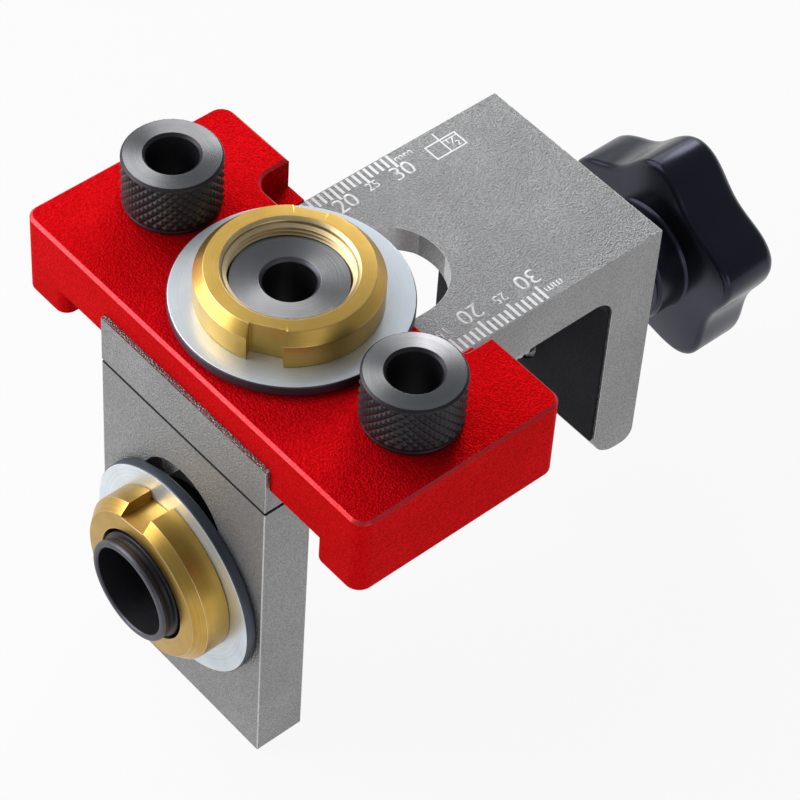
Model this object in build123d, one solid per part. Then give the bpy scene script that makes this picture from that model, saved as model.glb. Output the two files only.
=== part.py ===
"""Clamp-on dowelling jig for cam fittings. Millimetres, +Z up.

Origin: on the centre drill bush's axis, level with the top plate's top face.
+Y runs along the frame from the front plate to the knob, +X across it.
"""
from build123d import *
import os

os.makedirs("parts", exist_ok=True)

# frame: top plate with the rear leg in one piece, and the front plate screwed under it
HALF_WIDTH = 19.0
FRONT_Y = -19.65
FRAME_LENGTH = 77.3
PLATE_T = 8.9
FRONT_T = 8.75
LEG_T = 8.85
LEG_BOTTOM = -47.5
FRONT_BOTTOM = -66.5
CORNER_FILLET = 4.0
FACING_T = 0.6
FACING_BOTTOM = -42.4
LEG_ROUND = 5.8
FACING_HALF = 18.55
REAR_Y = FRONT_Y + FRAME_LENGTH
LEG_INNER_Y = REAR_Y - LEG_T
SEAT_Y = FRONT_Y + FRONT_T

# stepped slots that the two clamped bushes run in
SLOT_HALF = 9.4
SLOT_LIP = 3.8
RECESS_HALF = 11.15
FLANGE_HALF_WIDTH = 11.0
FLANGE_HALF_LENGTH = 12.4
TOP_SLOT = (-3.5, 19.0)
TOP_SLOT_HALF = 9.5
TOP_LIP = 4.4
TOP_RECESS_HALF = 13.0
TOP_FLANGE_HALF = 12.8
TOP_FLANGE_REACH = 0.6
FRONT_SLOT = (-44.0, -26.7)

# slider block that straddles the top plate
BLOCK_HALF_X = 38.5
BLOCK_HALF_Y = 19.0
BLOCK_TOP = 5.8
BLOCK_CHAMFER = 0.45
BLOCK_CORNER = 2.4
ROOF_Z = 0.3
CHANNEL_HALF = 19.1
RELIEF_HALF = 28.9
RELIEF_Z = -4.0
FOOT_Z = -8.8
FOOT_CORNER = 2.0
NOTCH_HALF = 22.9
NOTCH_Y = 11.85
NOTCH_CORNER = 3.2
NOTCH_FLOOR = 0.2

# knurled drill bushes pressed into the block
BUSH_SPACING = 27.1
KNURL_R = 7.7
KNURL_TOP = 15.2
SHANK_R = 5.5
SHANK_BOTTOM = -8.3
DRILL_R = 4.0

# clamped bushes, their washers and slotted ring nuts
THREAD_R = 9.0
NUT_BORE_R = 9.06
WASHER_R = 18.1
WASHER_BORE_R = 10.1
CENTRE_WASHER_Y = 0.5
FRONT_WASHER_DROP = 0.9
WASHER_T = 1.8
NUT_R = 14.0
NUT_T = 5.9
NUT_FLAT_R = 12.5
NUT_CHAMFER_T = 1.75
NUT_MOUTH_R = 10.25
NOTCH_WIDTH = 5.4
NOTCH_INNER_R = 12.0
CENTRE_BUSH_TOP = 11.05
CENTRE_NOTCH_DEG = -54.5
FRONT_BUSH_Z = -37.7
FRONT_BUSH_END = -29.95
FRONT_DRILL_R = 7.5
FRONT_NOTCH_DEG = 99.5
RING_R = 8.65
NECK_R = 8.15
SEAT_GAP = 0.05

# clamp screw, its foot and the star knob
SCREW_Z = -32.6
SCREW_R = 4.0
SCREW_HOLE_R = 4.06
FOOT_Y = 16.3
FOOT_T = 6.0
FOOT_R = 8.0
TIP_R = 2.5
TIP_HOLE_R = 2.56
RING_GROOVE_R = 2.0
KNOB_FACE_Y = 76.85
KNOB_T = 11.2
KNOB_MEAN_R = 17.2
KNOB_LOBE = 1.9
KNOB_SHARPEN = 0.14
KNOB_LOBES = 5
KNOB_PHASE_DEG = 19.2
BOSS_R = 9.5
BOSS_L = 6.0
HEX_AF = 13.0

# plate screws
SCREW_X = 15.3
PLATE_SCREW_Y = FRONT_Y + 4.6
PLATE_SCREW_R = 2.0
PLATE_SCREW_HEAD_R = 3.75
PLATE_SCREW_LENGTH = 21.0


def block(x0, x1, y0, y1, z0, z1):
    centre = ((x0 + x1) / 2, (y0 + y1) / 2, (z0 + z1) / 2)
    return Pos(*centre) * Box(x1 - x0, y1 - y0, z1 - z0)


def rod(radius, start, length, axis="z", at=(0, 0)):
    """Cylinder from start along +Z (at = x, y) or along +Y (at = x, z)."""
    if axis == "z":
        return Pos(at[0], at[1], start + length / 2) * Cylinder(radius, length)
    return Pos(at[0], start + length / 2, at[1]) * Rot(90, 0, 0) * Cylinder(radius, length)


def taper(r_low, r_high, start, length, axis="z", at=(0, 0)):
    """Cone whose radius is r_low at start and r_high at start + length."""
    if axis == "z":
        return Pos(at[0], at[1], start + length / 2) * Cone(r_low, r_high, length)
    return Pos(at[0], start + length / 2, at[1]) * Rot(-90, 0, 0) * Cone(r_low, r_high, length)


def obround(half_width, low, high, base, height, plane="top"):
    """Round-ended prism: along Y and rising +Z, or along Z and running +Y."""
    if plane == "top":
        body = block(-half_width, half_width, low, high, base, base + height)
        ends = [rod(half_width, base, height, at=(0, end)) for end in (low, high)]
    else:
        body = block(-half_width, half_width, base, base + height, low, high)
        ends = [rod(half_width, base, height, "y", (0, end)) for end in (low, high)]
    return body + ends[0] + ends[1]


def edges_at(shape, axis, **position):
    """Edges parallel to axis whose centre matches the given coordinates."""
    found = shape.edges().filter_by(axis)
    for name, value in position.items():
        found = ShapeList(e for e in found if abs(getattr(e.center(), name) - value) < 0.02)
    return found


def save(shape, node):
    solids = shape.solids()
    export_step(solids[0] if len(solids) == 1 else Compound(children=list(solids)), f"parts/{node}.step")


# ---- frame -------------------------------------------------------------------
frame = block(-HALF_WIDTH, HALF_WIDTH, FRONT_Y, REAR_Y, -PLATE_T, 0)
frame += block(-HALF_WIDTH, HALF_WIDTH, LEG_INNER_Y, REAR_Y, LEG_BOTTOM, 0)
frame = fillet(edges_at(frame, Axis.X, Y=LEG_INNER_Y, Z=-PLATE_T), CORNER_FILLET)
frame = fillet(edges_at(frame, Axis.X, Y=LEG_INNER_Y, Z=LEG_BOTTOM), LEG_ROUND)
frame = fillet(edges_at(frame, Axis.X, Y=REAR_Y, Z=LEG_BOTTOM), 2.2)
flange_reach = FLANGE_HALF_LENGTH - FLANGE_HALF_WIDTH
frame -= obround(TOP_SLOT_HALF, TOP_SLOT[0], TOP_SLOT[1], -PLATE_T - 1, PLATE_T + 2)
frame -= obround(TOP_RECESS_HALF, TOP_SLOT[0] - TOP_FLANGE_REACH - 0.1, TOP_SLOT[1] + TOP_FLANGE_REACH + 0.1,
                 -PLATE_T - 1, PLATE_T - TOP_LIP + 1)
frame -= rod(SCREW_HOLE_R, LEG_INNER_Y - 1, LEG_T + 2, "y", (0, SCREW_Z))
for side in (-1, 1):
    at = (side * SCREW_X, PLATE_SCREW_Y)
    frame -= rod(PLATE_SCREW_R, -PLATE_T - 1, PLATE_T + 2, at=at)
    frame -= taper(PLATE_SCREW_R, PLATE_SCREW_HEAD_R, -1.75, 1.75, at=at)
save(frame, "frame")

# ---- front plate -------------------------------------------------------------
front_plate = block(-HALF_WIDTH, HALF_WIDTH, FRONT_Y, SEAT_Y, FRONT_BOTTOM, -PLATE_T)
top_edges = front_plate.faces().sort_by(Axis.Z)[-1].edges()
front_plate = chamfer(top_edges, 0.25)
front_plate -= obround(SLOT_HALF, FRONT_SLOT[0], FRONT_SLOT[1], FRONT_Y - 1, FRONT_T + 2, "front")
front_plate -= obround(RECESS_HALF, FRONT_SLOT[0] - flange_reach - 0.1,
                       FRONT_SLOT[1] + flange_reach + 0.1,
                       FRONT_Y + SLOT_LIP, FRONT_T, "front")
for side in (-1, 1):
    front_plate -= rod(PLATE_SCREW_R, -PLATE_SCREW_LENGTH - 1.5, PLATE_SCREW_LENGTH,
                       at=(side * SCREW_X, PLATE_SCREW_Y))
save(front_plate, "front_plate")

# two countersunk socket screws hold the front plate under the top plate
screws = []
for side in (-1, 1):
    at = (side * SCREW_X, PLATE_SCREW_Y)
    screw = rod(PLATE_SCREW_R, -PLATE_SCREW_LENGTH, PLATE_SCREW_LENGTH - 0.15, at=at)
    screw += taper(PLATE_SCREW_R, PLATE_SCREW_HEAD_R - 0.15, -1.75, 1.6, at=at)
    socket = Pos(at[0], at[1], -1.6) * extrude(RegularPolygon(1.45, 6), 2)
    screws.append(screw - socket)
save(Compound(children=screws), "plate_screws")

# thin dark facing glued to the inside of the leg and up its corner fillet
bend_y = LEG_INNER_Y - CORNER_FILLET
bend_z = -PLATE_T - CORNER_FILLET
facing = Pos(0, bend_y, bend_z) * Rot(0, 90, 0) * Cylinder(CORNER_FILLET - 0.05, 2 * FACING_HALF)
facing -= block(-30, 30, bend_y - 10, bend_y, bend_z - 10, bend_z + 10)
facing += block(-FACING_HALF, FACING_HALF, bend_y, LEG_INNER_Y, FACING_BOTTOM, bend_z)
facing -= Pos(0, bend_y, bend_z) * Rot(0, 90, 0) * Cylinder(CORNER_FILLET - FACING_T, 60)
facing -= block(-30, 30, bend_y - 1, LEG_INNER_Y - FACING_T, FACING_BOTTOM - 1, bend_z)
facing -= rod(SCREW_R + 0.8, LEG_INNER_Y - 3, 6, "y", (0, SCREW_Z))
save(facing, "leg_facing")

# ---- slider block ------------------------------------------------------------
slider = block(-BLOCK_HALF_X, BLOCK_HALF_X, -BLOCK_HALF_Y, BLOCK_HALF_Y, FOOT_Z, BLOCK_TOP)
slider = fillet(slider.edges().filter_by(Axis.Z), BLOCK_CORNER)
slider -= block(-RELIEF_HALF, RELIEF_HALF, -30, 30, FOOT_Z - 1, RELIEF_Z)
foot_edges = slider.edges().filter_by(Axis.Z)
foot_edges = ShapeList(e for e in foot_edges if abs(abs(e.center().X) - RELIEF_HALF) < 0.02)
slider = fillet(foot_edges, FOOT_CORNER)
slider -= block(-CHANNEL_HALF, CHANNEL_HALF, -30, 30, FOOT_Z - 1, ROOF_Z)
notch = block(-NOTCH_HALF, NOTCH_HALF, NOTCH_Y, 30, NOTCH_FLOOR, BLOCK_TOP + 1)
notch = fillet(edges_at(notch, Axis.Z, Y=NOTCH_Y), NOTCH_CORNER)
slider -= notch
slider = chamfer(slider.faces().sort_by(Axis.Z)[-1].outer_wire().edges(), BLOCK_CHAMFER)
slider -= rod(THREAD_R + 0.2, ROOF_Z - 1, BLOCK_TOP + 2)
for side in (-1, 1):
    slider -= rod(SHANK_R, FOOT_Z - 1, BLOCK_TOP - FOOT_Z + 2, at=(side * BUSH_SPACING, 0))
save(slider, "slider_block")

# ---- knurled drill bushes ----------------------------------------------------
for side, node in ((-1, "drill_bush_left"), (1, "drill_bush_right")):
    at = (side * BUSH_SPACING, 0)
    bush = rod(KNURL_R, BLOCK_TOP, KNURL_TOP - BLOCK_TOP - 0.4, at=at)
    bush += taper(KNURL_R, KNURL_R - 0.4, KNURL_TOP - 0.4, 0.4, at=at)
    bush += rod(SHANK_R, SHANK_BOTTOM, BLOCK_TOP - SHANK_BOTTOM, at=at)
    bush -= rod(DRILL_R, SHANK_BOTTOM - 1, KNURL_TOP - SHANK_BOTTOM + 2, at=at)
    bush -= taper(DRILL_R, DRILL_R + 0.45, KNURL_TOP - 0.45, 0.45, at=at)
    save(bush, node)

# ---- centre bush, washer and ring nut -----------------------------------------
flange_top = -TOP_LIP - SEAT_GAP
flange_bottom = -PLATE_T + 0.4
bush = obround(TOP_FLANGE_HALF, -TOP_FLANGE_REACH, TOP_FLANGE_REACH, flange_bottom,
               flange_top - flange_bottom)
bush += rod(THREAD_R, flange_top, CENTRE_BUSH_TOP - flange_top - 0.25)
bush += taper(THREAD_R, THREAD_R - 0.25, CENTRE_BUSH_TOP - 0.25, 0.25)
bush -= rod(DRILL_R, flange_bottom - 1, CENTRE_BUSH_TOP - flange_bottom + 2)
bush -= taper(DRILL_R, DRILL_R + 0.72, CENTRE_BUSH_TOP - 0.72, 0.72)
save(bush, "centre_bush")


def washer(base, axis, at=(0, 0)):
    return (rod(WASHER_R, base, WASHER_T, axis, at)
            - rod(WASHER_BORE_R, base - 1, WASHER_T + 2, axis, at))


def ring_nut(notch_deg):
    """Ring nut seated on z = 0, opening upwards, with two spanner notches."""
    nut = rod(NUT_R, 0, NUT_T - NUT_CHAMFER_T)
    nut += taper(NUT_R, NUT_FLAT_R, NUT_T - NUT_CHAMFER_T, NUT_CHAMFER_T)
    nut -= rod(NUT_BORE_R, -1, NUT_T + 2)
    mouth = NUT_MOUTH_R - NUT_BORE_R
    nut -= taper(NUT_BORE_R, NUT_MOUTH_R, NUT_T - mouth, mouth)
    cutter = block(NOTCH_INNER_R, NUT_R + 2, -NOTCH_WIDTH / 2, NOTCH_WIDTH / 2, -1, NUT_T + 1)
    for turn in (0, 180):
        nut -= Rot(0, 0, notch_deg + turn) * cutter
    return nut


washer_z = BLOCK_TOP + SEAT_GAP
nut_z = washer_z + WASHER_T + SEAT_GAP
save(washer(washer_z, "z", (0, CENTRE_WASHER_Y)), "centre_washer")
save(Pos(0, 0, nut_z) * ring_nut(CENTRE_NOTCH_DEG), "centre_nut")

# ---- front bush, washer and ring nut ------------------------------------------
front_axis = (0, FRONT_BUSH_Z)
lip_y = FRONT_Y + SLOT_LIP + SEAT_GAP
flange_end = SEAT_Y - 0.4
bush = obround(FLANGE_HALF_WIDTH, FRONT_BUSH_Z - flange_reach, FRONT_BUSH_Z + flange_reach,
               lip_y, flange_end - lip_y, "front")
neck_y = FRONT_BUSH_END + 1.4
thread_y = neck_y + 0.9
bush += rod(THREAD_R, thread_y, lip_y - thread_y, "y", front_axis)
bush += rod(NECK_R, neck_y, thread_y - neck_y, "y", front_axis)
bush += rod(RING_R, FRONT_BUSH_END + 0.3, 1.1, "y", front_axis)
bush += taper(RING_R - 0.3, RING_R, FRONT_BUSH_END, 0.3, "y", front_axis)
bush -= rod(FRONT_DRILL_R, FRONT_BUSH_END - 1, flange_end - FRONT_BUSH_END + 2, "y", front_axis)
save(bush, "front_bush")
washer_y = FRONT_Y - SEAT_GAP
# the loose front washer hangs low on its bush
save(washer(washer_y - WASHER_T, "y", (0, FRONT_BUSH_Z - FRONT_WASHER_DROP)), "front_washer")
nut_y = washer_y - WASHER_T - SEAT_GAP
front_nut = Pos(0, nut_y, FRONT_BUSH_Z) * Rot(90, 0, 0) * ring_nut(FRONT_NOTCH_DEG)
save(front_nut, "front_nut")

# ---- clamp screw, foot and knob ------------------------------------------------
screw_axis = (0, SCREW_Z)
shoulder_y = FOOT_Y + FOOT_T + 0.1
hex_y = KNOB_FACE_Y + 2.5
screw = rod(SCREW_R, shoulder_y, hex_y - shoulder_y, "y", screw_axis)
screw += rod(TIP_R, FOOT_Y + 0.6, shoulder_y - FOOT_Y - 0.6, "y", screw_axis)
groove = rod(TIP_R + 1, FOOT_Y + 1.2, 0.8, "y", screw_axis)
groove -= rod(RING_GROOVE_R, FOOT_Y + 1, 1.2, "y", screw_axis)
screw -= groove
hexagon = Plane((0, hex_y, SCREW_Z), z_dir=(0, 1, 0)) * RegularPolygon(HEX_AF / 2, 6, major_radius=False)
screw += extrude(hexagon, 5.3)
save(screw, "clamp_screw")

foot = rod(FOOT_R - 0.5, FOOT_Y, FOOT_T, "y", screw_axis)
foot += rod(FOOT_R, FOOT_Y, FOOT_T - 2.0, "y", screw_axis)
foot -= rod(TIP_HOLE_R, FOOT_Y - 1, FOOT_T + 2, "y", screw_axis)
foot -= rod(5.0, FOOT_Y - 1, 3.1, "y", screw_axis)
save(foot, "clamp_foot")

clip = rod(4.4, FOOT_Y + 1.25, 0.7, "y", screw_axis) - rod(RING_GROOVE_R, FOOT_Y, 3, "y", screw_axis)
clip -= block(-1.5, 1.5, FOOT_Y, FOOT_Y + 3, SCREW_Z - 6, SCREW_Z)
save(clip, "foot_clip")


def lobed_outline(inset):
    """Closed spline through the knob's lobes and valleys, drawn inset mm inside them."""
    points = []
    steps = 12 * KNOB_LOBES
    for i in range(steps):
        turn = radians_of(360.0 * i / steps)
        radius = KNOB_MEAN_R - inset + KNOB_LOBE * cos_of(KNOB_LOBES * turn)
        radius += KNOB_SHARPEN * cos_of(2 * KNOB_LOBES * turn)
        angle = turn + radians_of(KNOB_PHASE_DEG)
        points.append((radius * cos_of(angle), radius * sin_of(angle)))
    return Spline(*points, periodic=True)


def radians_of(degrees):
    return degrees * 3.141592653589793 / 180


def cos_of(angle):
    return Vector(1, 0).rotate(Axis.Z, angle * 180 / 3.141592653589793).X


def sin_of(angle):
    return Vector(1, 0).rotate(Axis.Z, angle * 180 / 3.141592653589793).Y


# the knob's sketch plane looks back along -Y, so that angles run from +X towards +Z
knob_plane = Plane((0, KNOB_FACE_Y + KNOB_T, SCREW_Z), x_dir=(1, 0, 0), z_dir=(0, -1, 0))
knob = extrude(knob_plane * make_face(lobed_outline(0)), KNOB_T)
rims = ShapeList(e for e in knob.edges() if e.length > 60)
outer = ShapeList(e for e in rims if e.center().Y > KNOB_FACE_Y + KNOB_T / 2)
inner = ShapeList(e for e in rims if e.center().Y < KNOB_FACE_Y + KNOB_T / 2)
knob = fillet(outer, 2.0)
inner = ShapeList(e for e in knob.edges() if e.length > 60 and e.center().Y < KNOB_FACE_Y + 0.1)
knob = fillet(inner, 1.0)
knob += rod(BOSS_R, KNOB_FACE_Y - BOSS_L, BOSS_L + 1, "y", screw_axis)
knob -= extrude(hexagon, 5.3)
knob -= rod(SCREW_R, KNOB_FACE_Y - BOSS_L - 1, BOSS_L + 4, "y", screw_axis)
save(knob, "knob")
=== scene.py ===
import bpy
import bmesh
import math
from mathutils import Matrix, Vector


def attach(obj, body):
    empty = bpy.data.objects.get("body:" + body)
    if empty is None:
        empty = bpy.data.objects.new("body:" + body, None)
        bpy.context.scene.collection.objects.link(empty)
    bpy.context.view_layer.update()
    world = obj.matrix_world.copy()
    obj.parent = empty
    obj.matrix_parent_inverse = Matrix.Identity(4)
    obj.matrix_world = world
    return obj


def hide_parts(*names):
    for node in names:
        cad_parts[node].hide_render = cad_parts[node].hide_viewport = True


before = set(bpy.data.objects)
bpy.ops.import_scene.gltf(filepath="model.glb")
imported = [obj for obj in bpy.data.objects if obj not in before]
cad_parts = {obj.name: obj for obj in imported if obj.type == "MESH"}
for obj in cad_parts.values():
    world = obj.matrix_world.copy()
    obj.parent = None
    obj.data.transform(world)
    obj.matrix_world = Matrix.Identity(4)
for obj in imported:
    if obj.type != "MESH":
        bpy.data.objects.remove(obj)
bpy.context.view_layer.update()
mm = 0.001
origin = (0.0, 0.0, 0.0)


# ---------- small tools of the trade

def deselectAll():
    if bpy.context.object and bpy.context.object.mode != "OBJECT":
        bpy.ops.object.mode_set(mode="OBJECT")
    bpy.ops.object.select_all(action="DESELECT")


def pick(piece):
    deselectAll()
    piece.select_set(True)
    bpy.context.view_layer.objects.active = piece


def settle(piece):
    pick(piece)
    bpy.ops.object.transform_apply(location=True, rotation=True, scale=True)


def openMesh(piece):
    pick(piece)
    bpy.ops.object.mode_set(mode="EDIT")
    bpy.ops.mesh.select_mode(type="VERT")
    bpy.ops.mesh.select_all(action="SELECT")


def closeMesh():
    bpy.ops.object.mode_set(mode="OBJECT")


def mergeMesh(piece):
    openMesh(piece)
    bpy.ops.mesh.remove_doubles(threshold=0.002 * mm)
    bpy.ops.mesh.normals_make_consistent(inside=False)
    closeMesh()


def selectVerts(piece, test):
    bm = bmesh.from_edit_mesh(piece.data)
    for vert in bm.verts:
        vert.select_set(test(vert.co / mm))
    bm.select_flush_mode()
    bmesh.update_edit_mesh(piece.data)


def applyModifier(piece, kind, **settings):
    pick(piece)
    added = piece.modifiers.new(kind.lower(), kind)
    for key, value in settings.items():
        setattr(added, key, value)
    bpy.ops.object.modifier_apply(modifier=added.name)


def bevelEdges(piece, width, segments=2, angle=30):
    applyModifier(piece, "BEVEL", width=width * mm, segments=segments, limit_method="ANGLE",
                  angle_limit=math.radians(angle), miter_outer="MITER_ARC")


def smoothBelow(piece, angle=30):
    pick(piece)
    bpy.ops.object.shade_smooth_by_angle(angle=math.radians(angle))


def squareNormals(piece, angle=30):
    # broad faces keep their own normal, so only the small bevels turn the light
    smoothBelow(piece, angle)
    applyModifier(piece, "WEIGHTED_NORMAL", mode="FACE_AREA", weight=90, keep_sharp=True)


def joinPieces(first, *others):
    deselectAll()
    for piece in (first, *others):
        piece.select_set(True)
    bpy.context.view_layer.objects.active = first
    bpy.ops.object.join()
    return first


def copyPiece(piece, name):
    twin = bpy.data.objects.new(name, piece.data.copy())
    bpy.context.collection.objects.link(twin)
    return twin


# a piece is made along +Z from its own zero, then laid along the axis that it has on the jig
layDown = {"up": (0, 0, 0), "front": (90, 0, 0), "back": (-90, 0, 0)}


def place(piece, along, at):
    piece.rotation_euler = [math.radians(turn) for turn in layDown[along]]
    piece.location = [value * mm for value in at]
    settle(piece)


def turnPiece(name, outline, sides=128):
    deselectAll()
    radius, height = outline[0]
    bpy.ops.mesh.primitive_circle_add(vertices=sides, radius=radius * mm, location=(0, 0, height * mm))
    piece = bpy.context.object
    piece.name = name
    settle(piece)
    openMesh(piece)
    for nextRadius, nextHeight in outline[1:]:
        bpy.ops.mesh.extrude_region_move(TRANSFORM_OT_translate={"value": (0, 0, (nextHeight - height) * mm)})
        grow = nextRadius / radius
        bpy.ops.transform.resize(value=(grow, grow, 1), center_override=origin)
        radius, height = nextRadius, nextHeight
    closeMesh()
    return piece


def turnRing(name, outline, sides=128):
    piece = turnPiece(name, list(outline) + [outline[0]], sides)
    mergeMesh(piece)
    return piece


def threadRidge(name, root, crest, pitch, start, turns, sides=48):
    # one tooth, wound up its pitch; the back of the tooth is buried in the core
    deselectAll()
    bpy.ops.mesh.primitive_circle_add(vertices=4, radius=1.0, rotation=(math.radians(90), 0, 0))
    ridge = bpy.context.object
    ridge.name = name
    tall = abs(crest - root)
    ridge.scale = (tall * mm, 0.47 * pitch * mm, 1)
    ridge.location = (root * mm, 0, start * mm)
    settle(ridge)
    applyModifier(ridge, "SCREW", axis="Z", screw_offset=pitch * mm, iterations=turns, steps=sides,
                  render_steps=sides, use_merge_vertices=False)
    openMesh(ridge)
    bpy.ops.mesh.fill_holes(sides=0)
    bpy.ops.mesh.normals_make_consistent(inside=False)
    closeMesh()
    return ridge


def cutAway(piece, cutter):
    applyModifier(piece, "BOOLEAN", operation="DIFFERENCE", solver="EXACT", object=cutter)
    bpy.data.objects.remove(cutter)


def boxCutter(size, at, turn=0):
    deselectAll()
    bpy.ops.mesh.primitive_cube_add(size=1, location=[value * mm for value in at])
    cutter = bpy.context.object
    cutter.scale = [value * mm for value in size]
    settle(cutter)
    cutter.rotation_euler = (0, 0, math.radians(turn))
    settle(cutter)
    return cutter


def copyNode(node, name):
    piece = copyPiece(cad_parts[node], name)
    piece.data.materials.clear()
    openMesh(piece)
    bpy.ops.mesh.remove_doubles(threshold=0.002 * mm)
    bpy.ops.mesh.dissolve_limited(angle_limit=math.radians(0.4))
    closeMesh()
    return piece


def dressPiece(piece, bevel, segments=2, angle=35, smooth=30):
    # the small broken edges that the real piece has
    bevelEdges(piece, bevel, segments, angle)
    squareNormals(piece, smooth)
    return piece


def markFaces(piece, finish, test):
    # a second colour on some faces only: a ground end, and the painted highlights and painted shade on rims, broken
    # edges and joints
    piece.data.materials.append(finish)
    index = len(piece.data.materials) - 1
    for face in piece.data.polygons:
        if test(face.center / mm, face.normal):
            face.material_index = index


def finishPiece(piece, body, slotName, finish, *nodes):
    piece.data.materials.clear()
    piece.data.materials.append(finish)
    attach(piece, body)
    if nodes:
        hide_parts(*nodes)
    return piece


# ---------- finishes

def toLinear(value):
    value /= 255
    return value / 12.92 if value <= 0.04045 else ((value + 0.055) / 1.055) ** 2.4


def tone(red, green, blue):
    return (toLinear(red), toLinear(green), toLinear(blue), 1)


def newGroup(name, inputs, outputs):
    group = bpy.data.node_groups.new(name, "ShaderNodeTree")
    for label, value in inputs:
        socket = group.interface.new_socket(name=label, in_out="INPUT", socket_type="NodeSocketFloat")
        socket.default_value = value
    for label in outputs:
        group.interface.new_socket(name=label, in_out="OUTPUT", socket_type="NodeSocketFloat")
    return group, group.nodes.new("NodeGroupInput"), group.nodes.new("NodeGroupOutput")


def mathNode(tree, operation, first, second=None, third=None):
    node = tree.nodes.new("ShaderNodeMath")
    node.operation = operation
    for index, value in enumerate((first, second, third)):
        if value is None:
            continue
        if isinstance(value, (int, float)):
            node.inputs[index].default_value = value
        else:
            tree.links.new(value, node.inputs[index])
    return node.outputs[0]


def makePebbleGroup():
    # blasted skin: two sizes of round grain over a slow drift
    group, start, end = newGroup("pebbleSkin", [("Scale", 3200.0), ("Drift", 60.0)], ["Height", "Shade"])
    coords = group.nodes.new("ShaderNodeTexCoord").outputs["Object"]
    fine = group.nodes.new("ShaderNodeTexNoise")
    fine.inputs["Detail"].default_value = 2.0
    fine.inputs["Roughness"].default_value = 0.55
    coarse = group.nodes.new("ShaderNodeTexVoronoi")
    coarse.feature = "SMOOTH_F1"
    coarse.inputs["Smoothness"].default_value = 0.6
    drift = group.nodes.new("ShaderNodeTexNoise")
    for node in (fine, coarse, drift):
        group.links.new(coords, node.inputs["Vector"])
    group.links.new(start.outputs["Scale"], fine.inputs["Scale"])
    group.links.new(mathNode(group, "MULTIPLY", start.outputs["Scale"], 0.8), coarse.inputs["Scale"])
    group.links.new(start.outputs["Drift"], drift.inputs["Scale"])
    height = mathNode(group, "MULTIPLY_ADD", coarse.outputs["Distance"], -0.7, fine.outputs[0])
    group.links.new(height, end.inputs["Height"])
    shade = mathNode(group, "MULTIPLY_ADD", height, 0.6, mathNode(group, "MULTIPLY", drift.outputs[0], 0.35))
    group.links.new(shade, end.inputs["Shade"])
    return group


def makeTurningGroup():
    # fine tool rings about the piece's axis, from the distance to it
    group, start, end = newGroup("turningMarks", [("X", 0.0), ("Y", 0.0), ("Z", 0.0), ("Along Y", 0.0),
                                                  ("Scale", 9000.0), ("Crown", 0.0)], ["Height", "Shade"])
    coords = group.nodes.new("ShaderNodeTexCoord").outputs["Object"]
    split = group.nodes.new("ShaderNodeSeparateXYZ")
    group.links.new(coords, split.inputs[0])
    across = mathNode(group, "SUBTRACT", split.outputs["X"], start.outputs["X"])
    sideY = mathNode(group, "SUBTRACT", split.outputs["Y"], start.outputs["Y"])
    sideZ = mathNode(group, "SUBTRACT", split.outputs["Z"], start.outputs["Z"])
    flip = start.outputs["Along Y"]
    other = mathNode(group, "ADD", mathNode(group, "MULTIPLY", sideZ, flip),
                     mathNode(group, "MULTIPLY", sideY, mathNode(group, "SUBTRACT", 1.0, flip)))
    along = mathNode(group, "ADD", mathNode(group, "MULTIPLY", sideY, flip),
                     mathNode(group, "MULTIPLY", sideZ, mathNode(group, "SUBTRACT", 1.0, flip)))
    radius = mathNode(group, "SQRT", mathNode(group, "ADD", mathNode(group, "MULTIPLY", across, across),
                                              mathNode(group, "MULTIPLY", other, other)))
    spread = group.nodes.new("ShaderNodeCombineXYZ")
    group.links.new(mathNode(group, "MULTIPLY", radius, start.outputs["Scale"]), spread.inputs["X"])
    group.links.new(mathNode(group, "MULTIPLY", along, start.outputs["Scale"]), spread.inputs["Y"])
    rings = group.nodes.new("ShaderNodeTexNoise")
    rings.inputs["Scale"].default_value = 1.0
    rings.inputs["Detail"].default_value = 3.0
    group.links.new(spread.outputs[0], rings.inputs["Vector"])
    smudge = group.nodes.new("ShaderNodeTexNoise")
    smudge.inputs["Scale"].default_value = 220.0
    group.links.new(coords, smudge.inputs["Vector"])
    slope = mathNode(group, "MULTIPLY", mathNode(group, "MULTIPLY", radius, start.outputs["Crown"]), 1000.0)
    crowned = mathNode(group, "SUBTRACT", rings.outputs[0], slope)
    group.links.new(crowned, end.inputs["Height"])
    shade = mathNode(group, "MULTIPLY_ADD", rings.outputs[0], 0.6,
                     mathNode(group, "MULTIPLY", smudge.outputs[0], 0.4))
    group.links.new(shade, end.inputs["Shade"])
    return group


pebbleGroup = makePebbleGroup()
turningGroup = makeTurningGroup()


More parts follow.
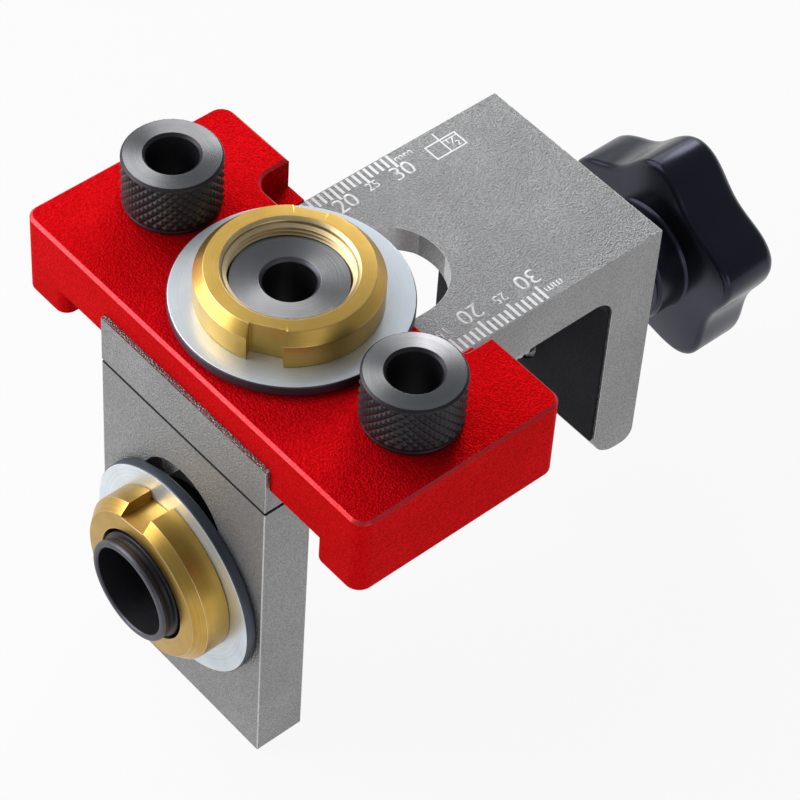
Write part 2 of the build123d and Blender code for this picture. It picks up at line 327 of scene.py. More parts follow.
def makeFinish(name, look, group=None, settings=None):
    finish = bpy.data.materials.new(name)
    finish.use_nodes = True
    tree = finish.node_tree
    shader = tree.nodes["Principled BSDF"]
    shader.inputs["Metallic"].default_value = look["metallic"]
    shader.inputs["Roughness"].default_value = look["roughness"]
    shader.inputs["Base Color"].default_value = look["light"]
    for label, value in look.get("extra", {}).items():
        shader.inputs[label].default_value = value
    if group is None:
        return finish
    effect = tree.nodes.new("ShaderNodeGroup")
    effect.node_tree = group
    for label, value in (settings or {}).items():
        effect.inputs[label].default_value = value
    ramp = tree.nodes.new("ShaderNodeValToRGB")
    ramp.color_ramp.elements[0].position, ramp.color_ramp.elements[1].position = look["spread"]
    ramp.color_ramp.elements[0].color = look["dark"]
    ramp.color_ramp.elements[1].color = look["light"]
    tree.links.new(effect.outputs["Shade"], ramp.inputs[0])
    tree.links.new(ramp.outputs["Color"], shader.inputs["Base Color"])
    rough = tree.nodes.new("ShaderNodeMapRange")
    rough.inputs["From Min"].default_value, rough.inputs["From Max"].default_value = look["spread"]
    rough.inputs["To Min"].default_value = look["roughness"] + look["roughSwing"]
    rough.inputs["To Max"].default_value = look["roughness"] - look["roughSwing"]
    tree.links.new(effect.outputs["Shade"], rough.inputs["Value"])
    tree.links.new(rough.outputs["Result"], shader.inputs["Roughness"])
    bump = tree.nodes.new("ShaderNodeBump")
    bump.inputs["Strength"].default_value = look["bump"]
    bump.inputs["Distance"].default_value = look["depth"] * mm
    tree.links.new(effect.outputs["Height"], bump.inputs["Height"])
    tree.links.new(bump.outputs["Normal"], shader.inputs["Normal"])
    return finish


looks = {
    "blastedAluminium": {"light": tone(162, 162, 162), "dark": tone(132, 132, 132), "metallic": 0.8,
                         "roughness": 0.34, "roughSwing": 0.04, "spread": (0.17, 0.50), "bump": 1.0, "depth": 0.14},
    # painted highlight: a lighter aluminium for the broken edges, standing in for the bright line of light they catch
    "paintedAluminiumHighlight": {"light": tone(222, 222, 222), "dark": tone(200, 200, 200), "metallic": 0.6,
                      "roughness": 0.4, "roughSwing": 0.04, "spread": (0.2, 0.5), "bump": 0.3, "depth": 0.05},
    "redAnodised": {"light": tone(220, 16, 26), "dark": tone(184, 7, 14), "metallic": 0.78,
                    "roughness": 0.46, "roughSwing": 0.05, "spread": (0.17, 0.50), "bump": 0.9, "depth": 0.1,
                    "extra": {"Specular Tint": tone(255, 80, 80), "Specular IOR Level": 0.12}},
    # painted highlight: a lighter pinkish red standing in for the light line along the block's top chamfer
    "paintedRedHighlight": {"light": tone(226, 62, 68), "dark": tone(206, 44, 50), "metallic": 0.7,
                "roughness": 0.42, "roughSwing": 0.04, "spread": (0.2, 0.5), "bump": 0.3, "depth": 0.05},
    "bluedSteel": {"light": tone(46, 45, 50), "dark": tone(28, 28, 32), "metallic": 0.5,
                   "roughness": 0.46, "roughSwing": 0.06, "spread": (0.3, 0.7), "bump": 0.35, "depth": 0.01},
    "bluedEdge": {"light": tone(96, 96, 104), "dark": tone(70, 70, 78), "metallic": 0.7,
                  "roughness": 0.4, "roughSwing": 0.06, "spread": (0.3, 0.7), "bump": 0.35, "depth": 0.01},
    "facedSteel": {"light": tone(140, 140, 141), "dark": tone(116, 116, 118), "metallic": 1.0,
                   "roughness": 0.24, "roughSwing": 0.03, "spread": (0.3, 0.7), "bump": 0.4, "depth": 0.004},
    "turnedBrass": {"light": tone(218, 182, 100), "dark": tone(190, 151, 70), "metallic": 1.0,
                    "roughness": 0.34, "roughSwing": 0.04, "spread": (0.3, 0.7), "bump": 0.3, "depth": 0.012},
    # painted shade: a darker copy of the turned brass for the front nut, standing in for the shade on it
    "paintedShadeBrass": {"light": tone(202, 166, 88), "dark": tone(172, 136, 62), "metallic": 1.0,
                   "roughness": 0.34, "roughSwing": 0.04, "spread": (0.3, 0.7), "bump": 0.3, "depth": 0.012},
    # painted sheen: a paler copy of the brass for the nut bores and chamfers, standing in for the highlights they
    # catch
    "paintedBrassSheen": {"light": tone(232, 214, 170), "dark": tone(186, 160, 116), "metallic": 1.0,
                  "roughness": 0.36, "roughSwing": 0.04, "spread": (0.3, 0.7), "bump": 0.3, "depth": 0.012},
    "zincPlate": {"light": tone(230, 238, 245), "dark": tone(202, 212, 221), "metallic": 0.65,
                  "roughness": 0.34, "roughSwing": 0.06, "spread": (0.3, 0.7), "bump": 0.2, "depth": 0.006},
    # painted shade: a dark blue-grey for the washer's outer rim, standing in for the shadow on it
    "paintedWasherRimShade": {"light": tone(84, 89, 100), "dark": tone(62, 67, 78), "metallic": 0.7,
                  "roughness": 0.42, "roughSwing": 0.06, "spread": (0.3, 0.7), "bump": 0.2, "depth": 0.006},
    "knobPlastic": {"light": tone(17, 17, 22), "dark": tone(11, 11, 15), "metallic": 0.0,
                    "roughness": 0.24, "roughSwing": 0.03, "spread": (0.1, 0.8), "bump": 0.1, "depth": 0.02,
                    "extra": {"Specular IOR Level": 0.5, "Specular Tint": tone(206, 212, 255)}},
    # dark finish of the leg facing, a dark sheet over the leg's inner face; also used as painted shade under the red
    # block and in the joint under the top plate
    "legFacingAndPaintedShade": {"light": tone(34, 35, 40), "dark": tone(27, 28, 33), "metallic": 0.0,
                  "roughness": 0.65, "roughSwing": 0.06, "spread": (0.1, 0.8), "bump": 0.4, "depth": 0.02,
                  "extra": {"Specular IOR Level": 0.15}},
    "screwSteel": {"light": tone(170, 171, 174), "dark": tone(130, 131, 136), "metallic": 0.9,
                   "roughness": 0.30, "roughSwing": 0.06, "spread": (0.3, 0.7), "bump": 0.25, "depth": 0.008},
    # painted shade: a dark steel for the clamp foot, so it sits dark under the top plate
    "shadedFootSteel": {"light": tone(84, 84, 88), "dark": tone(62, 62, 66), "metallic": 0.8,
                  "roughness": 0.36, "roughSwing": 0.06, "spread": (0.3, 0.7), "bump": 0.25, "depth": 0.008},
    "blackOxide": {"light": tone(40, 40, 44), "dark": tone(26, 26, 30), "metallic": 0.6,
                   "roughness": 0.45, "roughSwing": 0.05, "spread": (0.3, 0.7), "bump": 0.3, "depth": 0.01},
    "scalePaint": {"light": tone(255, 255, 255), "dark": tone(250, 250, 250), "metallic": 0.0,
                   "roughness": 0.6, "roughSwing": 0.05, "spread": (0.2, 0.5), "bump": 0.3, "depth": 0.02},
}

bushOffset = 27.1
frontAxis = {"Z": -37.7 * mm, "Along Y": 1.0}
screwAxis = {"Z": -32.6 * mm, "Along Y": 1.0}
aluminium = makeFinish("blastedAluminium", looks["blastedAluminium"], pebbleGroup, {"Scale": 4200.0})
paintedAluminiumHighlight = makeFinish("paintedAluminiumHighlight", looks["paintedAluminiumHighlight"], pebbleGroup, {"Scale": 2700.0})
redAnodised = makeFinish("redAnodised", looks["redAnodised"], pebbleGroup, {"Scale": 3700.0})
paintedRedHighlight = makeFinish("paintedRedHighlight", looks["paintedRedHighlight"], pebbleGroup, {"Scale": 3000.0})
bluedSteel = makeFinish("bluedSteel", looks["bluedSteel"], turningGroup)
bluedSteelFront = makeFinish("bluedSteelFront", looks["bluedSteel"], turningGroup, frontAxis)
bluedEdge = makeFinish("bluedEdge", looks["bluedEdge"], turningGroup, frontAxis)
bluedEdgeUp = makeFinish("bluedEdgeUp", looks["bluedEdge"], turningGroup)
bluedLeft = makeFinish("bluedSteelLeft", looks["bluedSteel"], turningGroup, {"X": -bushOffset * mm})
bluedRight = makeFinish("bluedSteelRight", looks["bluedSteel"], turningGroup, {"X": bushOffset * mm})
facedSteel = makeFinish("facedSteel", looks["facedSteel"], turningGroup, {"Crown": -95.0})
facedLeft = makeFinish("facedSteelLeft", looks["facedSteel"], turningGroup, {"X": -bushOffset * mm, "Crown": 95.0})
facedRight = makeFinish("facedSteelRight", looks["facedSteel"], turningGroup, {"X": bushOffset * mm, "Crown": 95.0})
brass = makeFinish("turnedBrass", looks["turnedBrass"], turningGroup, {"Crown": 20.0})
shadedFrontBrass = makeFinish("turnedBrassFront", looks["paintedShadeBrass"], turningGroup, {**frontAxis, "Crown": 20.0})
paintedBrassSheen = makeFinish("paintedBrassSheen", looks["paintedBrassSheen"], turningGroup)
paintedBrassEdgeSheen = makeFinish("paintedBrassEdgeSheen", looks["paintedBrassSheen"], turningGroup, frontAxis)
zinc = makeFinish("zincPlate", looks["zincPlate"], turningGroup)
zincFront = makeFinish("zincPlateFront", looks["zincPlate"], turningGroup, frontAxis)
paintedWasherRimShade = makeFinish("paintedWasherRimShade", looks["paintedWasherRimShade"], turningGroup)
screwSteel = makeFinish("screwSteel", looks["screwSteel"], turningGroup, screwAxis)
shadedFootSteel = makeFinish("shadedFootSteel", looks["shadedFootSteel"], turningGroup, screwAxis)
knobPlastic = makeFinish("knobPlastic", looks["knobPlastic"], pebbleGroup, {"Scale": 900.0})
facingAndShadeFinish = makeFinish("legFacingAndPaintedShade", looks["legFacingAndPaintedShade"], pebbleGroup, {"Scale": 2500.0})
blackOxide = makeFinish("blackOxide", looks["blackOxide"], pebbleGroup, {"Scale": 5000.0})
scalePaint = makeFinish("scalePaint", looks["scalePaint"], pebbleGroup, {"Scale": 3400.0})
print("finishes ready")


# ---------- aluminium frame and front plate

frameShell = {"edge": 0.3, "plateTop": -9.3, "seam": 0.24}


def onBrokenEdge(at, normal):
    inFillet = at.y > 42 and (at.z < -41 or -16 < at.z < -8.6)
    return max(abs(normal.x), abs(normal.y), abs(normal.z)) < 0.96 and not inFillet


# painted shadow: the frame's front top edge just under the red block's front edge, darkened as the shadow in the gap
# below the block
def underBlock(at, normal):
    return at.y < -19.1 and at.z > -1 and normal.z > 0.2


shell = dressPiece(copyNode("frame", "frameShell"), frameShell["edge"])
finishPiece(shell, "frame", "frame_alu", aluminium, "frame")
# painted highlight: the frame's broken edges above the leg's foot get the lighter aluminium
markFaces(shell, paintedAluminiumHighlight, lambda at, normal: onBrokenEdge(at, normal) and at.z > -46)
# painted shadow: the dark finish on the frame's edge under the red block
markFaces(shell, facingAndShadeFinish, lambda at, normal: onBrokenEdge(at, normal) and underBlock(at, normal))
shell = copyNode("front_plate", "frontPlateShell")
openMesh(shell)
selectVerts(shell, lambda co: co.z > frameShell["plateTop"])
bpy.ops.transform.translate(value=(0, 0, -frameShell["seam"] * mm))
closeMesh()
finishPiece(dressPiece(shell, frameShell["edge"]), "frame", "frame_alu", aluminium, "front_plate")
# painted highlight: the front plate's broken side edges below the joint get the lighter aluminium
markFaces(shell, paintedAluminiumHighlight, lambda at, normal: onBrokenEdge(at, normal) and abs(at.x) > 18.5 and at.z < -9.8)
# painted shade: the front plate's top bevel, in the joint under the top plate, gets the dark finish so the joint
# shows as a dark line of shade
markFaces(shell, facingAndShadeFinish, lambda at, normal: at.z > -9.8 and normal.z > 0.2)
# the leg facing gets the dark finish over the whole inner face of the leg
for node, finish in (("leg_facing", facingAndShadeFinish), ("plate_screws", blackOxide), ("foot_clip", blackOxide)):
    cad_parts[node].material_slots[0].material = finish
print("frame dressed")


# ---------- white scales on the top plate

scale = {"pitch": 1.133, "first": 15, "last": 30, "long": 3.0, "short": 2.25, "width": 0.5, "thick": 0.02,
         "big": 3.05, "small": 1.75, "unit": 1.66}
# the two scales differ a little in where their figures stand
scaleSides = {-1: {"y30": 34.95, "edge": 18.82, "bigX": 14.6, "smallX": 15.1, "unit": (17.26, 2.2)},
              1: {"y30": 34.5, "edge": 18.72, "bigX": 13.8, "smallX": 14.2, "unit": (17.4, 2.45)}}


def markBar(x0, x1, y0, y1):
    deselectAll()
    bpy.ops.mesh.primitive_plane_add(size=1, location=((x0 + x1) / 2 * mm, (y0 + y1) / 2 * mm, 0))
    bar = bpy.context.object
    bar.scale = (abs(x1 - x0) * mm, abs(y1 - y0) * mm, 1)
    settle(bar)
    return bar


def markText(words, height, at, turn, weight=0.012):
    deselectAll()
    bpy.ops.object.text_add(location=(at[0] * mm, at[1] * mm, 0), rotation=(0, 0, math.radians(turn)))
    text = bpy.context.object
    text.data.body = words
    text.data.align_x, text.data.align_y = "CENTER", "CENTER"
    text.data.size = height / 0.72 * mm
    text.data.offset = weight * mm
    bpy.ops.object.convert(target="MESH")
    settle(text)
    return text


marks = []
for side, lay in scaleSides.items():
    for number in range(scale["first"], scale["last"] + 1):
        y = lay["y30"] - (scale["last"] - number) * scale["pitch"]
        reach = scale["long"] if number % 5 == 0 else scale["short"]
        marks.append(markBar(side * lay["edge"], side * (lay["edge"] - reach),
                             y - scale["width"] / 2, y + scale["width"] / 2))
        if number % 5 == 0:
            height, x = (scale["small"], lay["smallX"]) if number % 10 else (scale["big"], lay["bigX"])
            marks.append(markText(str(number), height, (side * x, y), -90 * side))
    x, y = lay["unit"]
    marks.append(markText("mm", scale["unit"], (side * x, lay["y30"] + y), -90 * side))
for x0, x1, y0, y1 in ((-16.5, -13.2, 40.7, 40.98), (-16.5, -13.2, 46.62, 46.9), (-16.5, -16.22, 41.0, 46.6),
                       (-13.48, -13.2, 41.0, 46.6), (-16.2, -13.5, 43.6, 43.86), (-18.1, -16.52, 43.6, 43.86),
                       (-15.9, -15.7, 43.9, 46.6)):
    marks.append(markBar(x0, x1, y0, y1))
marks.append(markText("½", 2.1, (-14.6, 45.3), 90))
scaleMarks = joinPieces(marks[0], *marks[1:])
scaleMarks.name = "scaleMarks"
applyModifier(scaleMarks, "SOLIDIFY", thickness=scale["thick"] * mm, offset=1)
openMesh(scaleMarks)
bpy.ops.transform.translate(value=(0, 0, 0.004 * mm))
closeMesh()
finishPiece(scaleMarks, "frame", "frame_alu", scalePaint)
print("scales marked")


# ---------- red block

shell = dressPiece(copyNode("slider_block", "sliderShell"), 0.16, 3)
finishPiece(shell, "slider", "block_red", redAnodised, "slider_block")
# painted highlight: the lighter red on the block's top chamfer faces
markFaces(shell, paintedRedHighlight, lambda at, normal: at.z > 5.2 and 0.3 < normal.z < 0.93)
print("block dressed")


# ---------- knurled drill bushes

drillBush = {"head": 7.7, "root": 7.42, "rise": (5.82, 15.2), "shank": 5.5, "foot": -8.3,
             "bore": 4.0, "mouth": 4.45, "count": 32, "rows": 5, "rowPitch": 1.62, "firstRow": 7.1}


def makeKnurl(name, shape):
    pitch = 2 * math.pi * shape["root"] / shape["count"]
    deselectAll()
    studDepth = (shape["head"] - shape["root"]) * 1.1 * mm
    studReach = (shape["head"] + shape["root"] - 0.04) / 2 * mm
    bpy.ops.mesh.primitive_cone_add(vertices=4, radius1=1, radius2=0.26, depth=studDepth,
                                    rotation=(0, math.radians(90), 0),
                                    location=(studReach, 0, shape["firstRow"] * mm))
    stud = bpy.context.object
    stud.name = name
    stud.scale = (shape["rowPitch"] / 2 * mm, pitch / 2 * mm, 1)
    settle(stud)
    deselectAll()
    bpy.ops.object.empty_add(rotation=(0, 0, 2 * math.pi / shape["count"]))
    guide = bpy.context.object
    applyModifier(stud, "ARRAY", count=shape["count"], use_relative_offset=False, use_object_offset=True,
                  offset_object=guide)
    bpy.data.objects.remove(guide)
    twin = copyPiece(stud, name + "Twin")
    twin.rotation_euler = (0, 0, math.pi / shape["count"])
    twin.location = (0, 0, shape["rowPitch"] / 2 * mm)
    settle(twin)
    joinPieces(stud, twin)
    applyModifier(stud, "ARRAY", count=shape["rows"], use_relative_offset=False, use_constant_offset=True,
                  constant_offset_displace=(0, 0, shape["rowPitch"] * mm))
    return stud


def makeDrillBush(name, shape, x):
    low, high = shape["rise"]
    head, root, shank, bore, mouth = (shape[key] for key in ("head", "root", "shank", "bore", "mouth"))
    core = turnRing(name, [(bore, shape["foot"]), (shank - 0.3, shape["foot"]), (shank, shape["foot"] + 0.3),
                           (shank, low), (root, low), (root + 0.1, low + 0.12), (root + 0.1, low + 0.45),
                           (root - 0.02, low + 0.6), (root - 0.02, high - 0.75), (head - 0.02, high - 0.55),
                           (head - 0.02, high - 0.4), (head - 0.4, high), (mouth, high),
                           (bore, high - 0.45)], 96)
    bevelEdges(core, 0.05, 2, 25)
    squareNormals(core, 30)
    knurl = makeKnurl(name + "Knurl", shape)
    joinPieces(core, knurl)
    place(core, "up", (x, 0, 0))
    return core


for node, x, finish, faced in (("drill_bush_left", -bushOffset, bluedLeft, facedLeft),
                               ("drill_bush_right", bushOffset, bluedRight, facedRight)):
    bush = makeDrillBush(node + "Knurled", drillBush, x)
    finishPiece(bush, "slider", "bush_steel", finish, node)
    markFaces(bush, faced, lambda at, normal: at.z > 15.15 and normal.z > 0.95)
print("drill bushes knurled")


# ---------- centre and front bushes

bushShape = {"thread": 9.0, "root": 8.5, "pitch": 1.0}


def makeFlange(name, shape, bore, low, high):
    deselectAll()
    bpy.ops.mesh.primitive_cylinder_add(vertices=96, radius=shape["flangeHalf"] * mm, depth=(high - low) * mm,
                                        location=(0, 0, (high + low) / 2 * mm))
    flange = bpy.context.object
    flange.name = name
    settle(flange)
    openMesh(flange)
    for way in (-1, 1):
        selectVerts(flange, lambda co: co.y * way > 0.01)
        bpy.ops.transform.translate(value=(0, way * shape["flangeReach"] * mm, 0))
    closeMesh()
    deselectAll()
    bpy.ops.mesh.primitive_cylinder_add(vertices=96, radius=bore * mm, depth=40 * mm)
    cutAway(flange, bpy.context.object)
    bevelEdges(flange, 0.15, 2)
    return flange


def makeBarrel(name, outline, threadFrom, turns):
    barrel = turnRing(name, outline, 128)
    bevelEdges(barrel, 0.05, 2, 25)
    squareNormals(barrel, 30)
    ridge = threadRidge(name + "Thread", bushShape["root"], bushShape["thread"] - 0.02, bushShape["pitch"],
                        threadFrom, turns, 72)
    smoothBelow(ridge, 60)
    joinPieces(barrel, ridge)
    return barrel


centreBush = {"flangeHalf": 12.8, "flangeReach": 0.6, "flange": (-8.5, -4.45), "top": 11.05}
low, high = centreBush["flange"]
top = centreBush["top"]
barrel = makeBarrel("centreBushBarrel", [(4.0, low), (8.4, low), (8.5, high), (8.5, top - 0.95), (8.96, top - 0.75),
                                         (8.96, top - 0.2), (8.8, top), (4.5, top), (4.0, top - 0.6)], high + 0.7, 13)
centrePiece = joinPieces(barrel, makeFlange("centreBushFlange", centreBush, 4.0, low, high))
finishPiece(centrePiece, "slider", "bush_steel", bluedSteel, "centre_bush")
markFaces(centrePiece, facedSteel, lambda at, normal: at.z > top - 0.05 and normal.z > 0.9)
markFaces(centrePiece, bluedEdgeUp,
          lambda at, normal: at.z > top - 0.7 and 0.2 < normal.z <= 0.9 and at.xy.length < 5)

frontBush = {"flangeHalf": 11.0, "flangeReach": 1.4, "axisZ": -37.7, "flange": (11.3, 15.8), "end": 29.95}
low, high = frontBush["flange"]
end = frontBush["end"]
barrel = makeBarrel("frontBushBarrel", [(7.5, low), (8.4, low), (8.5, high), (8.5, end - 6.4), (8.98, end - 6.2),
                                        (8.98, end - 2.5), (8.9, end - 2.35), (8.2, end - 2.2), (8.15, end - 1.5),
                                        (8.6, end - 1.3), (8.65, end - 0.5), (8.5, end - 0.1), (8.2, end),
                                        (7.75, end), (7.5, end - 0.3)], high + 0.7, 7)
frontPiece = joinPieces(barrel, makeFlange("frontBushFlange", frontBush, 7.5, low, high))
place(frontPiece, "front", (0, 0, frontBush["axisZ"]))
finishPiece(frontPiece, "front_carriage", "bush_steel", bluedSteelFront, "front_bush")
markFaces(frontPiece, bluedEdge,
          lambda at, normal: at.y < -end + 0.45 and math.hypot(at.x, at.z - frontBush["axisZ"]) > 7.6)
print("bushes turned")


# ---------- washers and ring nuts

washer = {"outer": 18.1, "inner": 10.1, "thick": 1.8, "break": 0.18}
ringNut = {"outer": 14.0, "flat": 12.5, "mouth": 10.27, "wall": 9.72, "crest": 9.14, "thick": 5.9,
           "shoulder": 4.15, "notch": 5.4, "notchFloor": 12.0}
frontRingNut = {**ringNut, "mouth": 9.55, "wall": 9.3}


def makeWasher(name, shape):
    outer, inner, thick, edge = (shape[key] for key in ("outer", "inner", "thick", "break"))
    piece = turnRing(name, [(inner, edge), (inner + edge, 0), (outer - edge, 0), (outer, edge),
                            (outer, thick - edge), (outer - edge, thick), (inner + edge, thick),
                            (inner, thick - edge)], 160)
    bevelEdges(piece, 0.05, 2, 25)
    squareNormals(piece, 30)
    return piece


def onNutEdge(rise):
    return 0.25 < rise < 0.6 or 0.8 < rise < 0.97


def makeRingNut(name, shape, turn):
    thick = shape["thick"]
    nut = turnRing(name, [(shape["wall"], 0), (shape["outer"] - 0.1, 0), (shape["outer"], 0.1),
                          (shape["outer"], shape["shoulder"]), (shape["flat"], thick), (shape["mouth"], thick),
                          (shape["wall"] + 0.06, thick - 0.42), (shape["wall"], thick - 0.6)], 160)
    for half in (0, 180):
        cutter = boxCutter((4, shape["notch"], 12), (shape["notchFloor"] + 2, 0, 3), turn + half)
        cutAway(nut, cutter)
    bevelEdges(nut, 0.12, 2, 24)
    squareNormals(nut, 30)
    ridge = threadRidge(name + "Thread", shape["wall"] + 0.02, shape["crest"], 0.75, 0.55, 6, 96)
    smoothBelow(ridge, 60)
    return joinPieces(nut, ridge)


washerPiece = makeWasher("centreWasherPlate", washer)
place(washerPiece, "up", (0, 0.5, 5.85))
finishPiece(washerPiece, "centre_washer", "washer_steel", zinc, "centre_washer")
# painted shade: the centre washer's outer rim gets the dark zinc
markFaces(washerPiece, paintedWasherRimShade, lambda at, normal: math.hypot(at.x, at.y - 0.5) > 17.95)
nutPiece = makeRingNut("centreRingNut", ringNut, -54.5)
place(nutPiece, "up", (0, 0, 7.7))
finishPiece(nutPiece, "centre_nut", "nut_brass", brass, "centre_nut")
# painted sheen: the centre nut's bore and chamfer edges get the paler brass
markFaces(nutPiece, paintedBrassSheen, lambda at, normal: math.hypot(at.x, at.y) < 10.2 or onNutEdge(normal.z))
washerPiece = makeWasher("frontWasherPlate", washer)
place(washerPiece, "front", (0, -19.7, -38.6))
finishPiece(washerPiece, "front_washer", "washer_steel", zincFront, "front_washer")
# painted shade: the front washer's outer rim gets the dark zinc
markFaces(washerPiece, paintedWasherRimShade, lambda at, normal: math.hypot(at.x, at.z + 38.6) > 17.95)
nutPiece = makeRingNut("frontRingNut", frontRingNut, 99.5)
place(nutPiece, "front", (0, -21.55, -37.7))
# painted shade: the front nut takes the darker copy of the brass
finishPiece(nutPiece, "front_nut", "nut_brass", shadedFrontBrass, "front_nut")
# painted sheen: the front nut's outer chamfer edges get the paler brass
markFaces(nutPiece, paintedBrassEdgeSheen, lambda at, normal: onNutEdge(-normal.y) and math.hypot(at.x, at.z + 37.7) > 9)
print("washers and nuts made")


# ---------- clamp screw and foot

tiny = 0.0005
clampScrew = {"axisZ": -32.6, "root": 3.38, "crest": 3.99, "pitch": 1.25, "tip": 16.9, "shoulder": 22.4,
              "threadFrom": 24.0, "turns": 42, "hexFrom": 79.35, "hexTo": 84.6, "hexAcross": 13.0}
s = clampScrew
shank = turnRing("clampScrewThreaded", [(tiny, s["tip"]), (2.3, s["tip"]), (2.5, s["tip"] + 0.2),
                                        (2.5, 17.5), (2.0, 17.5), (2.0, 18.3), (2.5, 18.3),
                                        (2.5, s["shoulder"]), (3.85, s["shoulder"]),
                                        (3.99, s["shoulder"] + 0.15), (3.99, 23.4), (s["root"], 23.8),
                                        (s["root"], s["hexTo"]), (tiny, s["hexTo"])], 64)
squareNormals(shank, 30)
ridge = threadRidge("clampScrewRidge", s["root"], s["crest"], s["pitch"], s["threadFrom"], s["turns"], 48)
smoothBelow(ridge, 60)
deselectAll()
bpy.ops.mesh.primitive_cylinder_add(vertices=6, radius=s["hexAcross"] / math.sqrt(3) * mm,
                                    depth=(s["hexTo"] - s["hexFrom"]) * mm,
                                    location=(0, 0, (s["hexTo"] + s["hexFrom"]) / 2 * mm))
hexHead = bpy.context.object
settle(hexHead)
bevelEdges(hexHead, 0.4, 2)
joinPieces(shank, ridge, hexHead)
place(shank, "back", (0, 0, s["axisZ"]))
finishPiece(shank, "screw", "screw_steel", screwSteel, "clamp_screw")

foot = turnRing("clampFootPad", [(2.56, 18.4), (5.0, 18.4), (5.0, 16.55), (5.25, 16.3), (7.6, 16.3), (8.0, 16.7),
                                 (8.0, 20.1), (7.8, 20.3), (7.5, 20.5), (7.5, 21.8), (7.0, 22.3), (2.56, 22.3)], 96)
bevelEdges(foot, 0.08, 2, 25)
squareNormals(foot, 30)
place(foot, "back", (0, 0, s["axisZ"]))
# painted shade: the clamp foot takes the dark steel
finishPiece(foot, "foot", "screw_steel", shadedFootSteel, "clamp_foot")
print("screw and foot made")


# ---------- star knob

knobShape = {"axisZ": -32.6, "near": 76.85, "thick": 11.2, "mean": 17.18, "lobe": 1.9, "sharpen": 0.13, "lobes": 5,
             "phase": -19.2, "nearRound": 1.1, "farRound": 2.2, "boss": 9.5, "bossEnd": 70.85, "sides": 160}


def makeKnobHead(name, shape):
    deselectAll()
    bpy.ops.mesh.primitive_circle_add(vertices=shape["sides"], radius=shape["mean"] * mm,
                                      location=(0, 0, shape["near"] * mm))
    head = bpy.context.object
    head.name = name
    settle(head)
    openMesh(head)
    bm = bmesh.from_edit_mesh(head.data)
    for vert in bm.verts:
        turn = math.atan2(vert.co.y, vert.co.x) - math.radians(shape["phase"])
        swell = 1 + (shape["lobe"] * math.cos(shape["lobes"] * turn)
                     + shape["sharpen"] * math.cos(2 * shape["lobes"] * turn)) / shape["mean"]
        vert.co.x *= swell
        vert.co.y *= swell
    bmesh.update_edit_mesh(head.data)
    near, far = shape["near"], shape["near"] + shape["thick"]
    rings = [(9.0, near), (shape["nearRound"], near)]
    for step in range(1, 5):
        turn = math.radians(22.5 * step)
        rings.append((shape["nearRound"] * (1 - math.sin(turn)), near + shape["nearRound"] * (1 - math.cos(turn))))
    rings.append((0.0, (near + far) / 2))
    for step in range(0, 7):
        turn = math.radians(15 * step)
        rings.append((shape["farRound"] * (1 - math.cos(turn)), far - shape["farRound"] * (1 - math.sin(turn))))
    rings += [(5.0, far), (7.0, far - 0.25), (7.6, far - 0.6), (8.4, far - 0.7), (11.0, far - 0.7), (16.4, far - 0.7)]
    size, height = 1.0, near
    for index, (inset, nextHeight) in enumerate(rings):
        nextSize = 1 - inset / shape["mean"]
        if index > 0:
            bpy.ops.mesh.extrude_region_move(TRANSFORM_OT_translate={"value": (0, 0, (nextHeight - height) * mm)})
        bpy.ops.transform.resize(value=(nextSize / size, nextSize / size, 1), center_override=origin)
        size, height = nextSize, nextHeight
    bpy.ops.mesh.select_all(action="SELECT")
    bpy.ops.mesh.fill_holes(sides=0)
    closeMesh()
    mergeMesh(head)
    smoothBelow(head, 35)
    return head


k = knobShape
head = makeKnobHead("starKnob", k)
boss = turnRing("starKnobBoss", [(4.02, k["bossEnd"]), (k["boss"] - 0.6, k["bossEnd"]),
                                 (k["boss"], k["bossEnd"] + 0.6), (k["boss"], k["near"] - 0.7),
                                 (k["boss"] + 0.2, k["near"] - 0.2), (k["boss"] + 0.7, k["near"] + 0.3),
                                 (4.02, k["near"] + 0.3)], 96)
bevelEdges(boss, 0.15, 2, 25)
squareNormals(boss, 30)
joinPieces(head, boss)
place(head, "back", (0, 0, k["axisZ"]))
finishPiece(head, "screw", "knob_black", knobPlastic, "knob")
print("knob made")


# ---------- floor, light and camera

stage = {"floorZ": -66.7, "size": 30000, "colour": (0.5, 0.5, 0.5, 1), "white": 0.92,
         "room": (0.9, 0.94, 1.0, 1), "roomLight": 0.3}
deselectAll()
bpy.ops.mesh.primitive_plane_add(size=stage["size"] * mm, location=(0, 0, stage["floorZ"] * mm))
floor = bpy.context.object
floor.name = "floor"
floorFinish = bpy.data.materials.new("floorFinish")
floorFinish.use_nodes = True
floorTree = floorFinish.node_tree
floorShader = floorTree.nodes["Principled BSDF"]
floorShader.inputs["Base Color"].default_value = stage["colour"]
floorShader.inputs["Roughness"].default_value = 0.9
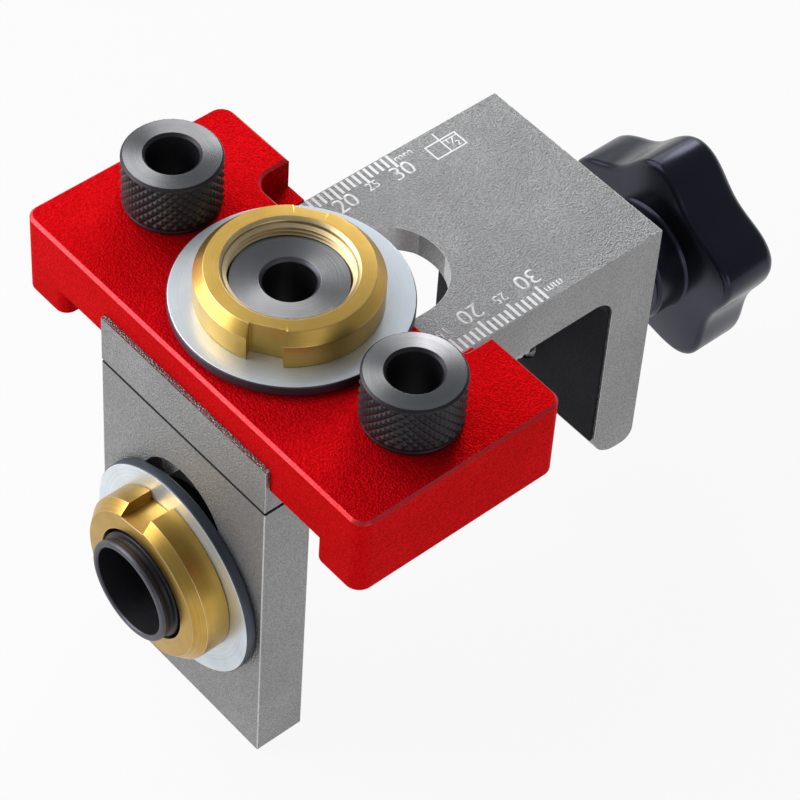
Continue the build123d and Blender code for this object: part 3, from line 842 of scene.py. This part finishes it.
# the floor looks white to the eye and in metal, and keeps a faint shadow; it sends out no light
rays = floorTree.nodes.new("ShaderNodeLightPath").outputs
seen = mathNode(floorTree, "MAXIMUM", rays["Is Camera Ray"], rays["Is Glossy Ray"])
seen = mathNode(floorTree, "MAXIMUM", seen, rays["Is Transmission Ray"])
white = floorTree.nodes.new("ShaderNodeEmission")
blend = floorTree.nodes.new("ShaderNodeMixShader")
floorTree.links.new(mathNode(floorTree, "MULTIPLY", seen, stage["white"]), blend.inputs[0])
floorTree.links.new(floorShader.outputs[0], blend.inputs[1])
floorTree.links.new(white.outputs[0], blend.inputs[2])
floorTree.links.new(blend.outputs[0], floorTree.nodes["Material Output"].inputs["Surface"])
floor.data.materials.append(floorFinish)

world = bpy.data.worlds.new("studio")
bpy.context.scene.world = world
world.use_nodes = True
room = world.node_tree.nodes["Background"]
room.inputs["Color"].default_value = stage["room"]
room.inputs["Strength"].default_value = stage["roomLight"]

lamps = {
    "keyLamp": {"from": (-290, -110, 250), "size": (440, 440), "power": 1.35},
    "rimLamp": {"from": (-250, 300, 150), "size": (280, 220), "power": 0.35},
    "cornerLamp": {"from": (-130, 222, 138), "size": (90, 90), "power": 0.12},
    "frontLamp": {"from": (-90, -105, 40), "size": (120, 120), "power": 0.17},
    "fillLamp": {"from": (600, -110, 90), "size": (340, 340), "power": 0.5},
}
lampTarget = Vector((0, 10 * mm, -20 * mm))
for name, lamp in lamps.items():
    deselectAll()
    lampAt = Vector(lamp["from"]) * mm
    bpy.ops.object.light_add(type="AREA", location=lampAt)
    light = bpy.context.object
    light.name = name
    light.data.shape = "RECTANGLE"
    light.data.size, light.data.size_y = (value * mm for value in lamp["size"])
    light.data.energy = lamp["power"]
    light.rotation_euler = (lampTarget - lampAt).to_track_quat("-Z", "Y").to_euler()

view = {"from": (252.64, -220.87, 365.69), "turn": (41.414, -2.888, 49.193), "lens": 153.16}
bpy.ops.object.camera_add(location=[value * mm for value in view["from"]],
                          rotation=[math.radians(value) for value in view["turn"]])
camera = bpy.context.object
camera.data.lens = view["lens"]
camera.data.sensor_width = 36
camera.data.clip_start = 0.01
bpy.context.scene.camera = camera
bpy.context.scene.view_settings.view_transform = "Standard"
print("stage set")
